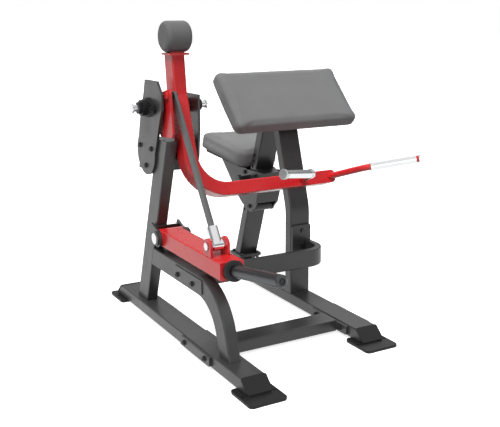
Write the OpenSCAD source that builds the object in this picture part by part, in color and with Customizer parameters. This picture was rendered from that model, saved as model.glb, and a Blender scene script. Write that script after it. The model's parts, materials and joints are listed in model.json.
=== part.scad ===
// Plate-loaded seated arm-curl machine.
// +X is the user's left-to-right across the base, -Y is the front, +Z is up.
// The origin is on the floor, at the middle of the machine's overall footprint.

/* [Base] */
// Distance between the centres of the two floor rails
rail_spacing = 632; // [560:4:720]
// Width of a floor rail
rail_w = 100; // [90:2:120]
// Height of a floor rail
rail_h = 50; // [40:2:70]
// Distance from the left rear anchor to the left front anchor
left_reach = 1232; // [1100:4:1400]
// How far the right rail stands behind the left one
stagger = 178; // [100:2:220]
// Side of a square foot plate
foot_side = 155; // [140:5:200]
// Thickness of a foot plate
foot_t = 8; // [6:1:12]
// Thickness of the rubber under a foot plate
foot_rubber_t = 4; // [2:1:8]
// Place of the rails' middle line across the footprint
base_x = -119; // [-140:1:-80]
// Place of the left rear anchor along the footprint
base_y = 550; // [500:1:600]
// Radius of a floor anchor hole
anchor_r = 6.5; // [5:0.5:9]
// Distance from the left rear anchor to the front face of the cross tube
cross_reach = 890; // [800:5:960]
// Wall of every steel tube
tube_wall = 3; // [2:0.5:4]
// Thickness of bolted plates
plate_t = 10; // [6:1:12]
// Radius of a bolt shank
bolt_r = 6; // [5:0.5:8]

/* [Load frame] */
// Width of the load post and the front arch
post_w = 50; // [40:2:60]
// Depth of the load post and the front arch
post_d = 100; // [80:5:120]
// Forward lean of the load post
post_lean = 20; // [14:0.5:24]
// Distance from the left rear anchor to the post's front face at the rail
post_y = 268; // [200:4:320]
// Height of the post's top end
post_top = 818; // [760:2:860]
// Height of the side tube's centre
side_z = 292; // [260:2:320]
// Depth of the side tube and the front arch
arch_d = 80; // [60:5:100]
// Radius of the arch's centre line
arch_r = 200; // [150:5:240]
// Distance from the left rear anchor to the start of the arch
arch_reach = 797; // [760:2:840]

/* [Pivots] */
// Distance from the left rear anchor to the upper pivot
upper_y = 384; // [350:2:420]
// Height of the upper pivot
upper_z = 942; // [900:2:980]
// Radius of the upper pivot shaft
shaft_r = 15; // [10:0.5:20]
// Distance from the left rear anchor to the lower pivot
lower_y = 438; // [425:1:460]
// Height of the lower pivot
lower_z = 396; // [380:2:420]
// Gap between the two head plates
head_gap = 170; // [160:2:200]
// Running clearance round a shaft
run_gap = 0.05; // [0.02:0.01:0.1]
// Side clearance between pieces that turn on each other
side_gap = 1; // [0.5:0.25:3]

/* [Movement arm] */
// Width of the movement arm's tube
arm_w = 56; // [44:2:70]
// Depth of the movement arm's tube
arm_d = 80; // [60:2:90]
// Forward lean of the arm below its elbow
arm_lean = 19; // [14:0.5:24]
// Distance from the arm's elbow to the swing bar's centre line
arm_drop = 414; // [380:2:440]
// Radius of the bend between the arm and the swing bar
arm_bend_r = 153; // [130:1:170]
// Diameter of the counterweight
balance_d = 125; // [100:5:150]
// Width of the counterweight
balance_w = 110; // [80:5:130]
// Diameter of the handle tube
handle_d = 28; // [22:1:32]
// Diameter of a hand grip
grip_d = 34; // [28:1:40]
// Distance between the inner ends of the hand grips
grip_gap = 258; // [220:2:300]
// Length of a hand grip
grip_l = 205; // [150:5:240]

/* [Weight lever] */
// Width of the weight lever's tube
lever_w = 100; // [80:2:120]
// Height of the weight lever's tube
lever_h = 70; // [60:2:80]
// Distance from the lower pivot to the lever's front end
lever_l = 557; // [500:1:600]
// Diameter of the weight horn, for plates with a 50 mm bore
horn_d = 48; // [25:1:49]
// Usable length of the weight horn
horn_l = 325; // [200:5:400]
// Upward tilt of the weight horn
horn_tilt = 9.5; // [0:0.5:15]
// Width of the connecting rod's flat bar
rod_w = 34; // [28:1:44]
// Thickness of the connecting rod's flat bar
rod_t = 12; // [8:1:16]

/* [Seat and arm pad] */
// Depth of the upright and the rear leg
stand_d = 50; // [40:2:60]
// Width of the upright and the rear leg
stand_w = 100; // [80:2:100]
// Distance from the left rear anchor to the upright's front face
upright_y = 511; // [480:1:540]
// Backward lean of the upright above its bend
upright_lean = 17; // [12:0.5:22]
// Distance from the left rear anchor to the rear leg's front face at its flange
leg_y = 21; // [0:1:60]
// Forward lean of the rear leg
leg_lean = 20; // [16:0.5:24]
// Width of the arm pad
pad_w = 610; // [500:5:700]
// Length of the arm pad down its slope
pad_l = 300; // [250:5:340]
// Thickness of the arm pad's cushion
pad_t = 50; // [40:2:70]
// Slope of the arm pad
pad_slope = 45; // [40:1:50]
// Thickness of the boards under the cushions
board_t = 13; // [9:1:18]
// Width of the seat at its rear
seat_rear_w = 320; // [280:5:400]
// Width of the seat at its front
seat_front_w = 200; // [180:5:260]
// Length of the seat
seat_l = 318; // [260:2:360]
// Thickness of the seat's cushion
seat_t = 60; // [40:2:70]
// Upward tilt of the seat towards its rear
seat_tilt = 12; // [6:0.5:14]

/* [Hidden] */
$fn = 48;

steel = "#4a4b4d";
black = "#232325";
red = "#d8383a";
grey = "#8a8c8e";
cushion = "#77797b";
chrome = "#dfe2e4";

eps = 0.02;
corner_r = 5;
fit_gap = 0.3;
rail_x = rail_spacing / 2;
rail_z = foot_t + foot_rubber_t;
rail_top = rail_z + rail_h;
end_rise = 55;
end_plate_t = 6;
foot_offset = 9;
rear_end = 45;
left_post_x = -rail_x - post_w / 2;
right_post_x = left_post_x + post_w;
hole_r = bolt_r + 0.5;

// Rectangle with rounded corners, centred
module round_rect(w, h, r = corner_r) {
    square([w - 2 * r, h], center = true);
    square([w, h - 2 * r], center = true);
    for (x = [-1, 1], y = [-1, 1])
        translate([x * (w / 2 - r), y * (h / 2 - r)]) circle(r);
}

// Section of a rectangular tube
module tube_section(w, h, wall = tube_wall) {
    difference() {
        round_rect(w, h);
        round_rect(w - 2 * wall, h - 2 * wall, corner_r - wall + 1);
    }
}

// Rectangular tube from z = 0 upwards, centred on its axis
module tube(w, d, l) linear_extrude(l) tube_section(w, d);

// Tube bend that starts upwards at the origin and turns towards +Y
module bend_back(w, d, r, angle) {
    translate([0, r, 0]) rotate([90, 0, -90])
        rotate_extrude(angle = angle, $fn = 96) translate([r, 0]) rotate(90) tube_section(w, d);
}

// Outline drawn in Y and Z, extruded from x0 to x1
module side_shape(x0, x1) translate([x0, 0, 0]) rotate([90, 0, 90]) linear_extrude(x1 - x0) children();

// Cylinder along X from x0 to x1 at y, z
module rod_x(r, x0, x1, y = 0, z = 0) translate([x0, y, z]) rotate([0, 90, 0]) cylinder(r = r, h = x1 - x0);

// Cylinder from point a to point b
module rod_between(a, b, r) {
    v = b - a;
    translate(a) rotate([0, acos(v.z / norm(v)), atan2(v.y, v.x)]) cylinder(r = r, h = norm(v));
}

// Bolt head with a washer, its seat at the origin and its crown along +Z
module bolt_head(r = bolt_r) {
    cylinder(r = r * 2, h = 2);
    translate([0, 0, 2 - eps]) difference() {
        cylinder(r = r * 1.55, h = r * 1.1);
        translate([0, 0, r * 0.5]) cylinder(r = r * 0.75, h = r, $fn = 6);
    }
}

// Hexagon nut with a washer and the end of its bolt
module bolt_nut(r = bolt_r) {
    cylinder(r = r * 2, h = 2);
    translate([0, 0, 2 - eps]) cylinder(r = r * 1.75, h = r * 1.4, $fn = 6);
    translate([0, 0, 2]) cylinder(r = r * 0.9, h = r * 2);
}

// Bolt through a thickness l: its head on top at the origin, its nut below
module bolt(l, r = bolt_r) {
    bolt_head(r);
    translate([0, 0, -l]) mirror([0, 0, 1]) bolt_nut(r);
    translate([0, 0, -l - eps]) cylinder(r = r, h = l + 2 * eps);
}

// Bolt along X: its head on the face at x0, its nut on the face at x1
module through_bolt(x0, x1, y, z) translate([x0, y, z]) rotate([0, -90, 0]) bolt(x1 - x0);

// Bolt tapped into a wall of thickness t: its head on top at the origin
module set_bolt(t) {
    bolt_head();
    translate([0, 0, -t]) cylinder(r = bolt_r, h = t + eps);
}

// Outline of a round boss with a smaller round lobe on each side
module lobed(big_r, lobe_r, reach) {
    a = asin((big_r - lobe_r) / reach);
    n = [sin(a), cos(a)];
    circle(big_r);
    for (side = [-1, 1]) translate([side * reach, 0]) circle(lobe_r);
    polygon([for (q = [[1, 1], [1, -1], [-1, -1], [-1, 1]], near = q[0] * q[1] > 0 ? [1, 0] : [0, 1])
        [q[0] * ((1 - near) * reach + (near ? big_r : lobe_r) * n.x), q[1] * (near ? big_r : lobe_r) * n.y]]);
}

// Round bar from a to b to c in the XY plane, mitred at b
module knee_rod(a, b, c, r) {
    d1 = (b - a) / norm(b - a);
    d2 = (c - b) / norm(c - b);
    mitre = atan2(d1.y + d2.y, d1.x + d2.x);
    reach = 4 * r;
    first_end = b + d1 * r;
    second_start = b - d2 * r;
    difference() {
        rod_between([a.x, a.y, 0], [first_end.x, first_end.y, 0], r);
        translate(b) rotate(mitre) translate([0, -reach / 2, -reach / 2]) cube(reach);
    }
    difference() {
        rod_between([second_start.x, second_start.y, 0], [c.x, c.y, 0], r);
        translate(b) rotate(mitre) translate([-reach, -reach / 2, -reach / 2]) cube(reach);
    }
}

// ---- Base ----

// Moves a piece from the rails' own middle, at the left rear anchor, to the footprint's middle
module at_base() translate([base_x, base_y, 0]) children();

front_end = -left_reach - foot_offset;

module rail(x, shift) {
    color(steel) difference() {
        translate([x, rear_end + shift, rail_z + rail_h / 2]) rotate([90, 0, 0])
            tube(rail_w, rail_h, rear_end - front_end);
        for (end = [[front_end + shift, 1], [rear_end + shift, -1]])
            side_shape(x - rail_w, x + rail_w) polygon([
                [end[0] - end[1] * 5, rail_z - 1], [end[0], rail_z - 1], [end[0], rail_z],
                [end[0] + end[1] * end_rise, rail_top], [end[0] + end[1] * end_rise, rail_top + 2],
                [end[0] - end[1] * 5, rail_top + 2]]);
        for (y = cross_bolt_y) rod_x(hole_r, x - rail_w, x + rail_w, y, rail_z + rail_h / 2);
    }
}

module left_rail() at_base() rail(-rail_x, 0);
module right_rail() at_base() rail(rail_x, stagger);

module end_plate(x, y, dir) {
    slope_l = norm([end_rise, rail_h]);
    translate([x, y, rail_z]) mirror([0, dir > 0 ? 0 : 1, 0]) rotate([atan2(rail_h, end_rise), 0, 0])
        translate([0, slope_l / 2, fit_gap]) linear_extrude(end_plate_t) round_rect(rail_w + 4, slope_l - 4, 10);
}

module rail_end_plates() at_base() color(black) {
    for (p = [[-rail_x, 0], [rail_x, stagger]]) {
        end_plate(p[0], front_end + p[1], 1);
        end_plate(p[0], rear_end + p[1], -1);
    }
}

foot_places = [[-rail_x, -left_reach], [rail_x, stagger - left_reach], [-rail_x, 0], [rail_x, stagger]];
// Two anchor holes in each foot, one each side of its rail
anchor_dx = rail_w / 2 + (foot_side - rail_w) / 4;
module anchor_holes() for (p = foot_places, side = [-1, 1])
    translate([p[0] + side * anchor_dx, p[1], -1]) cylinder(r = anchor_r, h = rail_z + 2);

module foot_plates() at_base() color(black) difference() {
    for (p = foot_places) translate([p[0], p[1], foot_rubber_t])
        linear_extrude(foot_t) round_rect(foot_side, foot_side, 18);
    anchor_holes();
}

module foot_rubbers() at_base() color(black) difference() {
    for (p = foot_places) translate([p[0], p[1], 0])
        linear_extrude(foot_rubber_t) round_rect(foot_side - 4, foot_side - 4, 16);
    anchor_holes();
}

// Cross tube with a long bolting plate at each end
cross_plate_l = 262;
cross_plate_h = 38;
cross_bolt_y = [-cross_reach + 154, -cross_reach - 27];
inner_face = rail_x - rail_w / 2;
module cross_plate(x0) difference() {
    side_shape(x0, x0 + plate_t)
        translate([-cross_reach + 61, rail_z + rail_h / 2]) round_rect(cross_plate_l, cross_plate_h, 6);
    for (y = cross_bolt_y) rod_x(hole_r, x0 - 1, x0 + plate_t + 1, y, rail_z + rail_h / 2);
}

module cross_tube() at_base() color(steel) {
    tube_l = 2 * (inner_face - plate_t);
    translate([-tube_l / 2, -cross_reach + rail_w / 2, rail_z + rail_h / 2]) rotate([90, 0, 90])
        tube(rail_w, rail_h, tube_l);
    cross_plate(-inner_face);
    cross_plate(inner_face - plate_t);
}

module rail_backing_plates() at_base() color(steel) {
    cross_plate(-inner_face - rail_w - plate_t);
    cross_plate(inner_face + rail_w);
}

// ---- Load frame ----

// Place children on the post's axis: z up the post, y = 0 on its front face, x = 0 on its centre
module on_post() translate([-rail_x, -post_y, rail_top]) rotate([post_lean, 0, 0]) children();
function post_front(z) = -post_y - (z - rail_top) * tan(post_lean);
function post_rear(z) = post_front(z) + post_d / cos(post_lean);

post_cap_t = 4;
module load_post() at_base() color(steel) difference() {
    union() {
        on_post() translate([0, post_d / 2, -60]) tube(post_w, post_d, (post_top - rail_top) / cos(post_lean) + 120);
        // plate that closes the post's top
        difference() {
            on_post() translate([0, post_d / 2, 0])
                linear_extrude(post_top) round_rect(post_w - tube_wall, post_d - tube_wall);
            translate([-rail_x - post_w, -post_y - 600, -60]) cube([2 * post_w, 1000, post_top - post_cap_t + 60]);
        }
    }
    translate([-rail_x - post_w, -post_y - 100, -60]) cube([2 * post_w, 400, rail_top + 60]);
    translate([-rail_x - post_w, -post_y - 600, post_top]) cube([2 * post_w, 600, 200]);
}

module side_tube() at_base() color(steel) difference() {
    translate([-rail_x, -arch_reach, side_z]) rotate([-90, 0, 0])
        tube(post_w, arch_d, arch_reach - post_y + 50);
    on_post() translate([-post_w, 0, 0]) cube([2 * post_w, 3 * post_d, 800]);
    splice_holes();
}

// Arch: from the side tube's end it turns down through arch_turn and runs straight to the rail
arch_turn = 72;
arch_leg = (side_z - arch_r * (1 - cos(arch_turn)) - rail_top) / sin(arch_turn);
module front_arch() at_base() color(steel) difference() {
    translate([-rail_x, -arch_reach, side_z]) rotate([90, 0, 0]) rotate(180) {
        bend_back(post_w, arch_d, arch_r, arch_turn);
        translate([0, arch_r, 0]) rotate([-arch_turn, 0, 0]) translate([0, -arch_r, 0])
            tube(post_w, arch_d, arch_leg + 40);
    }
    translate([-rail_x - post_w, -arch_reach - 500, -100]) cube([2 * post_w, 500, rail_top + 100]);
}

brace_y = -arch_reach + 142;
splice_t = 4;
splice_z = side_z - 7;
splice_y = [-arch_reach + 40, brace_y + 36];
brace_set_y = brace_y - 36;
module splice_holes() {
    for (y = splice_y) rod_x(hole_r, -rail_x - post_w, -rail_x + post_w, y, splice_z);
    rod_x(bolt_r, right_post_x - 2 * tube_wall, right_post_x + post_w, brace_set_y, splice_z);
}

// Side plates that bolt the arch's end to the side tube
module splice_blocks() at_base() color(steel) difference() {
    for (x = [left_post_x - splice_t, right_post_x])
        side_shape(x, x + splice_t) translate([-arch_reach + 80, side_z]) round_rect(250, arch_d - 22, 6);
    splice_holes();
}

// Lower pivot: two side lugs with round bosses, tied by a back plate
lower_mid = left_post_x + lever_w / 2;
lug_r = 38;
lug_in = lever_w / 2 + 3 + side_gap;
lug_out = lug_in + plate_t;
lug_reach = 70;
left_boss_l = 8;
right_boss_l = 18;
boss_r = 31;
cap_r = 24;
cap_t = 5;
back_t = 6;
module lower_bracket() at_base() color(steel) difference() {
    union() {
        for (side = [-1, 1]) {
            x0 = lower_mid + (side < 0 ? -lug_out : lug_in);
            side_shape(x0, x0 + plate_t) lug_outline();
            rod_x(boss_r, side < 0 ? x0 - left_boss_l : x0 + plate_t - eps,
                side < 0 ? x0 + eps : x0 + plate_t + right_boss_l, -lower_y, lower_z);
        }
        // back plate on the post's front face, from lug to lug
        on_post() translate([lower_mid + rail_x - lug_in - eps, -back_t, (lower_z - rail_top) / cos(post_lean) - 48])
            cube([2 * (lug_in + eps), back_t, 96]);
    }
    rod_x(shaft_r, lower_mid - 200, lower_mid + 200, -lower_y, lower_z);
    // the post passes between the lugs
    on_post() translate([-post_w / 2, 0, 0]) cube([post_w, post_d, 900]);
}
module lug_outline() {
    translate([-lower_y, lower_z]) circle(lug_r);
    translate([-lower_y, lower_z]) rotate(post_lean) translate([0, -lug_r + 4]) square([lug_reach, 2 * lug_r - 8]);
}

// Shaft of the lower pivot with a disc on each end
lower_shaft_x0 = lower_mid - lug_out - left_boss_l;
lower_shaft_x1 = lower_mid + lug_out + right_boss_l;
module lower_shaft() at_base() color(chrome) {
    rod_x(shaft_r, lower_shaft_x0, lower_shaft_x1, -lower_y, lower_z);
    rod_x(cap_r, lower_shaft_x0 - cap_t, lower_shaft_x0, -lower_y, lower_z);
    rod_x(cap_r, lower_shaft_x1, lower_shaft_x1 + cap_t, -lower_y, lower_z);
}

// ---- Head: two plates that carry the upper pivot ----

head_left = left_post_x;
head_right = left_post_x + head_gap;
head_mid = (head_left + head_right) / 2;
head_bolts = [[upper_y - 103, upper_z - 169], [upper_y + 17, upper_z - 171], [upper_y - 44, upper_z - 249]];
bolt_places = [for (b = head_bolts) [-b[0], b[1]]];

// Outline of a head plate: a rounded lower lobe and a narrower top with its own front edge
lobe = [42, -192];
lobe_r = 95;
module head_outline(front_edge) difference() {
    translate([-upper_y, upper_z]) {
        translate(lobe) circle(lobe_r, $fn = 96);
        polygon(concat([lobe + [lobe_r, 0], lobe + [75, 58], [89, -40], [48, 50]], front_edge, [lobe]));
    }
    translate([-upper_y, upper_z]) circle(shaft_r + 2);
    for (b = bolt_places) translate(b) circle(hole_r);
}

module left_head_plate() at_base() color(steel) side_shape(head_left - plate_t, head_left)
    head_outline([[27, 112], [-98, 112], [-140, 62], [-140, 0], [-118, -40], lobe - [lobe_r, 0]]);
module right_head_plate() at_base() color(steel) side_shape(head_right, head_right + plate_t)
    head_outline([[-100, 50], [-98, -96], [-84, -205], [-66, -252], [-30, -277], [12, -284]]);

// Box that is welded behind the post and spaces the head plates
head_box_d = 150;
module head_box() at_base() color(steel) difference() {
    side_shape(head_left, head_right) head_box_outline();
    side_shape(head_left + 8, head_right - 8) offset_box(6);
    for (b = bolt_places) rod_x(hole_r, head_left - 1, head_right + 1, b[0], b[1]);
}
module head_box_outline() polygon([
    [post_rear(head_box_low) + eps, head_box_low], [post_rear(head_box_high) + eps, head_box_high],
    [post_rear(head_box_high) + head_box_d, head_box_high], [post_rear(head_box_low) + head_box_d, head_box_low]]);
module offset_box(t) polygon([
    [post_rear(head_box_low + t) + t, head_box_low + t], [post_rear(head_box_high - t) + t, head_box_high - t],
    [post_rear(head_box_high - t) + head_box_d - t, head_box_high - t],
    [post_rear(head_box_low + t) + head_box_d - t, head_box_low + t]]);
head_box_low = upper_z - 274;
head_box_high = upper_z - 142;

// ---- Movement arm ----

elbow_y = -upper_y - 82;
elbow_z = upper_z + 58;
top_lean = 6;
arm_top = upper_z + 213;
crank_y = -upper_y - 154;
crank_z = upper_z + 58;

// Place children on the arm: the origin at its elbow, -z down the arm, y towards the rear
module on_arm() translate([head_mid, elbow_y, elbow_z]) rotate([-arm_lean, 0, 0]) children();
module on_arm_top() translate([head_mid, elbow_y, elbow_z]) rotate([-top_lean, 0, 0]) children();
function arm_rear(z) = elbow_y - (elbow_z - z) * tan(arm_lean) + arm_d / 2 / cos(arm_lean);

// Place children at the middle of the handle socket, x along the swing bar
module on_bar() on_arm() translate([rail_x - head_mid, 0, -arm_drop]) children();

socket_l = 196;
arm_straight = arm_drop - arm_bend_r;
bar_l = rail_x - head_mid - socket_l / 2 - arm_bend_r;

elbow_r = 150;
elbow_reach = elbow_r * tan((arm_lean - top_lean) / 2);
// Upper part of the arm, bent at the elbow, up to the counterweight
module arm_top_tube() at_base() color(red) difference() {
    on_arm() translate([0, 0, -elbow_reach]) rotate(180) {
        bend_back(arm_w, arm_d, elbow_r, arm_lean - top_lean);
        translate([0, elbow_r, 0]) rotate([top_lean - arm_lean, 0, 0]) translate([0, -elbow_r, 0])
            tube(arm_w, arm_d, arm_top - elbow_z + 20);
    }
    translate([head_mid - arm_w, elbow_y - arm_d, arm_top]) cube([2 * arm_w, 3 * arm_d, 100]);
}

// Lower part of the arm with the bend that turns it into the swing bar
module arm_tube() at_base() color(red) on_arm() {
    translate([0, 0, -arm_straight]) tube(arm_w, arm_d, arm_straight - elbow_reach);
    translate([arm_bend_r, 0, -arm_straight]) rotate([-90, 0, 180])
        rotate_extrude(angle = 90, $fn = 96) translate([arm_bend_r, 0]) tube_section(arm_w, arm_d);
    translate([arm_bend_r, 0, -arm_drop]) rotate([0, 90, 0]) tube(arm_w, arm_d, bar_l);
}

// Hub tube on the pivot shaft, with two webs welded to the arm's rear face
hub_r = 30;
hub_x0 = head_left + 5;
hub_x1 = head_right - 5;
web_t = 10;
module arm_hub() at_base() color(red) difference() {
    union() {
        rod_x(hub_r, hub_x0, hub_x1, -upper_y, upper_z);
        for (x = [head_mid - arm_w / 2, head_mid + arm_w / 2 - web_t]) side_shape(x, x + web_t) polygon([
            [arm_rear(upper_z - 90), upper_z - 90], [arm_rear(upper_z + 30), upper_z + 30],
            [-upper_y + 8, upper_z + hub_r - 2], [-upper_y + 20, upper_z - 10],
            [-upper_y, upper_z - hub_r + 1]]);
    }
    rod_x(shaft_r, hub_x0 - 1, hub_x1 + 1, -upper_y, upper_z);
}

// Crank plate that carries the connecting rod's upper end
crank_x = head_left + 11;
crank_t = 10;
crank_lobe_r = 24;
module crank_plate() at_base() color(red) difference() {
    side_shape(crank_x, crank_x + crank_t) {
        translate([-upper_y, upper_z]) circle(hub_r + 14);
        translate([crank_y, crank_z]) circle(crank_lobe_r);
        polygon([
            [crank_y - crank_lobe_r, crank_z - 4], [crank_y + 4, crank_z + crank_lobe_r],
            [-upper_y + 8, upper_z + hub_r + 13], [-upper_y + 16, upper_z - hub_r - 10],
            [-upper_y - 80, upper_z - 114], [-upper_y - 185, upper_z - 108],
            [-upper_y - 196, upper_z - 88]]);
    }
    rod_x(hub_r, crank_x - 1, crank_x + crank_t + 1, -upper_y, upper_z);
}

module crank_pin_head() at_base() color(black) translate([crank_x, crank_y, crank_z]) rotate([0, -90, 0]) {
    cylinder(r = 17, h = 3);
    translate([0, 0, 3 - eps]) cylinder(r = 14, h = 5, $fn = 6);
}

// Counterweight on a saddle at the arm's top
saddle_t = 8;
saddle_w = arm_w + 30;
saddle_d = arm_d + 4;
seat_block_d = 44;
balance_r = balance_d / 2;
balance_edge = 20;
balance_y = -upper_y - 78;
balance_z = arm_top + saddle_t + 1.5 + balance_r;
module balance_plate() at_base() color(red) difference() {
    union() {
        translate([head_mid - saddle_w / 2, balance_y - saddle_d / 2, arm_top]) cube([saddle_w, saddle_d, saddle_t]);
        translate([head_mid - arm_w / 2, balance_y - seat_block_d / 2, arm_top + saddle_t - eps])
            cube([arm_w, seat_block_d, saddle_t]);
    }
    rod_x(balance_r, head_mid - balance_w, head_mid + balance_w, balance_y, balance_z);
}

module balance_weight() at_base() color(steel) translate([head_mid, balance_y, balance_z]) rotate([0, 90, 0])
    rotate_extrude($fn = 96) {
        translate([0, -balance_w / 2]) square([balance_r - balance_edge, balance_w]);
        translate([0, -balance_w / 2 + balance_edge]) square([balance_r, balance_w - 2 * balance_edge]);
        for (side = [-1, 1]) translate([balance_r - balance_edge, side * (balance_w / 2 - balance_edge)])
            circle(balance_edge);
    }

// Socket that closes the swing bar and holds the two handle tubes
handle_r = handle_d / 2;
handle_root = [60, 0];
handle_knee = [grip_gap / 2, -220];
grip_dir = [0.885, -0.465];
module handle_line(r) knee_rod(handle_root, handle_knee, handle_knee + grip_dir * (grip_l + 23), r);
module socket_outline(inset) {
    l = socket_l - 2 * inset;
    h = arm_w - 2 * inset;
    round_rect(l, h, 22 - inset);
    translate([-l / 4, 0]) square([l / 2, h], center = true);
}
module handle_socket() at_base() color(red) on_bar() difference() {
    translate([0, arm_d / 2, 0]) rotate([90, 0, 0]) linear_extrude(arm_d) socket_outline(0);
    translate([0, arm_d / 2 - tube_wall, 0]) rotate([90, 0, 0])
        linear_extrude(arm_d - 2 * tube_wall) socket_outline(tube_wall);
    for (side = [-1, 1])
        rod_between([side * handle_root.x, 0, 0], [side * handle_knee.x, handle_knee.y, 0], handle_r + 0.2);
}

module handle_tube() at_base() color(red) on_bar()
    for (side = [0, 1]) mirror([side, 0, 0]) handle_line(handle_r);

// Grip sleeve with an inner collar; s runs along the grip from the knee
grip_start = 13;
module on_grip(side) on_bar() mirror([side < 0 ? 1 : 0, 0, 0])
    translate([handle_knee.x, handle_knee.y, 0]) rotate(atan2(grip_dir.y, grip_dir.x)) rotate([0, 90, 0]) children();
module grip(side) at_base() color(chrome) on_grip(side) translate([0, 0, grip_start + 10]) difference() {
    union() {
        cylinder(r = grip_d / 2, h = grip_l - 10);
        cylinder(r = grip_d / 2 + 3, h = 8);
    }
    translate([0, 0, -1]) cylinder(r = handle_r, h = grip_l + 2);
}
module left_grip() grip(-1);
module right_grip() grip(1);
module grip_caps() at_base() color(chrome) for (side = [-1, 1])
    on_grip(side) translate([0, 0, grip_start + grip_l + 10]) {
        cylinder(r = grip_d / 2 + 4, h = 5);
        translate([0, 0, 5 - eps]) cylinder(r = grip_d / 2 + 1, h = 4);
    }

// Rubber stop that the arm rests against, on a post from the head box
stop_z = upper_z - 197;
stop_t = 26;
module arm_stop() at_base() color(black) difference() {
    translate([head_mid, 0, stop_z]) rotate([90, 0, 0]) {
        translate([0, 0, -post_rear(stop_z) - 30]) cylinder(r = 16, h = post_rear(stop_z) + 30 - arm_rear(stop_z));
        translate([0, 0, -arm_rear(stop_z) - stop_t]) cylinder(r = 24, h = stop_t + 30);
    }
    side_shape(head_left, head_right) head_box_outline();
    on_arm() translate([-arm_w, -arm_d * 2, -arm_drop])
        cube([2 * arm_w, arm_d * 2.5 + fit_gap + 0.2, arm_drop]);
}

// Flange bearings on the outer faces of the head plates
bearing_t = 34;
module bearing_housings() at_base() color(black) difference() {
    for (side = [-1, 1]) {
        face = side < 0 ? head_left - plate_t : head_right + plate_t;
        side_shape(side < 0 ? face - 13 : face, side < 0 ? face : face + 13)
            translate([-upper_y, upper_z]) lobed(40, 18, 68);
        rod_x(33, side < 0 ? face - bearing_t : face, side < 0 ? face : face + bearing_t, -upper_y, upper_z);
        for (end = [-1, 1]) translate([face + side * 13, -upper_y + end * 68, upper_z])
            rotate([0, side * 90, 0]) bolt_head(5);
    }
    rod_x(shaft_r + run_gap, head_left - 100, head_right + 100, -upper_y, upper_z);
}

shaft_x0 = head_left - 78;
shaft_x1 = head_right + 78;
shaft_disc_r = 21;
shaft_disc_t = 6;
// Upper pivot shaft with a disc on each end
module pivot_shaft() at_base() color(chrome) {
    rod_x(shaft_r, shaft_x0, shaft_x1, -upper_y, upper_z);
    rod_x(shaft_disc_r, shaft_x0 - shaft_disc_t, shaft_x0, -upper_y, upper_z);
    rod_x(shaft_disc_r, shaft_x1, shaft_x1 + shaft_disc_t, -upper_y, upper_z);
}

// Set collars beside the bearings
module shaft_collars() at_base() color(black) for (side = [-1, 1]) {
    face = side < 0 ? head_left - plate_t - bearing_t : head_right + plate_t + bearing_t;
    difference() {
        rod_x(24, side < 0 ? face - 13 : face + 1, side < 0 ? face - 1 : face + 13, -upper_y, upper_z);
        rod_x(shaft_r, face - 20, face + 20, -upper_y, upper_z);
    }
}

// ---- Weight lever and connecting rod ----

bush_r = 37;
lever_front = -lower_y - lever_l;
lever_left = lower_mid - lever_w / 2;
pin_y = -cross_reach;
pin_z = lower_z + lever_h / 2 + 39;
pin_r = 10;
rod_x_mid = head_left + 41;

module lever_tube() at_base() color(red) difference() {
    union() {
        translate([lower_mid, -lower_y, lower_z]) rotate([90, 0, 0]) tube(lever_w, lever_h, lever_l - 8 + eps);
        translate([lower_mid, lever_front + 8, lower_z]) rotate([90, 0, 0])
            linear_extrude(8) round_rect(lever_w, lever_h);
    }
    rod_x(bush_r, lower_mid - lever_w, lower_mid + lever_w, -lower_y, lower_z);
}

module lever_bush() at_base() color(red) difference() {
    rod_x(bush_r, lower_mid - lug_in + side_gap, lower_mid + lug_in - side_gap, -lower_y, lower_z);
    rod_x(shaft_r + run_gap, lower_mid - 100, lower_mid + 100, -lower_y, lower_z);
}

// Two lugs on the lever's top that hold the rod's lower pin
clevis_half = 31;
clevis_t = 10;
clevis_r = 30;
module rod_clevis() at_base() color(red) difference() {
    for (x = [rod_x_mid - clevis_half - clevis_t, rod_x_mid + clevis_half]) side_shape(x, x + clevis_t) {
        translate([pin_y, pin_z]) circle(clevis_r);
        translate([pin_y - clevis_r, lower_z + lever_h / 2]) square([2 * clevis_r, pin_z - lower_z - lever_h / 2]);
    }
    rod_x(pin_r, rod_x_mid - 100, rod_x_mid + 100, pin_y, pin_z);
}

module clevis_pin() at_base() color(chrome) {
    half = clevis_half + clevis_t;
    rod_x(pin_r, rod_x_mid - half - 1, rod_x_mid + half + 1, pin_y, pin_z);
    rod_x(15, rod_x_mid - half - 6, rod_x_mid - half - 1 + eps, pin_y, pin_z);
    rod_x(15, rod_x_mid + half + 1 - eps, rod_x_mid + half + 6, pin_y, pin_z);
    // spacers between the lugs and the rod's end
    for (side = [-1, 1]) rod_x(16, rod_x_mid + (side < 0 ? -clevis_half : eye_half + side_gap),
        rod_x_mid + (side < 0 ? -eye_half - side_gap : clevis_half), pin_y, pin_z);
}

// Place children on the weight horn, z along it towards the tip
module on_horn() translate([lower_mid, lever_front, lower_z]) rotate([90 - horn_tilt, 0, 0]) children();
collar_t = 18;
horn_back = 5;
horn_wall = 5;
horn_end_t = 20;
horn_end_bore = 12.5;
horn_chamfer = 5;
horn_relief = 3;
horn_start = horn_back + collar_t + horn_relief;
horn_end = horn_start + horn_l + horn_chamfer;
neck_r = horn_d / 2 - 2;
module horn_collar() at_base() color(black) difference() {
    on_horn() translate([0, 0, horn_back]) cylinder(r = 40, h = collar_t);
    on_horn() cylinder(r = neck_r, h = 100);
    translate([lower_mid - 60, lever_front, lower_z - 60]) cube([120, 40, 120]);
}
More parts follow.
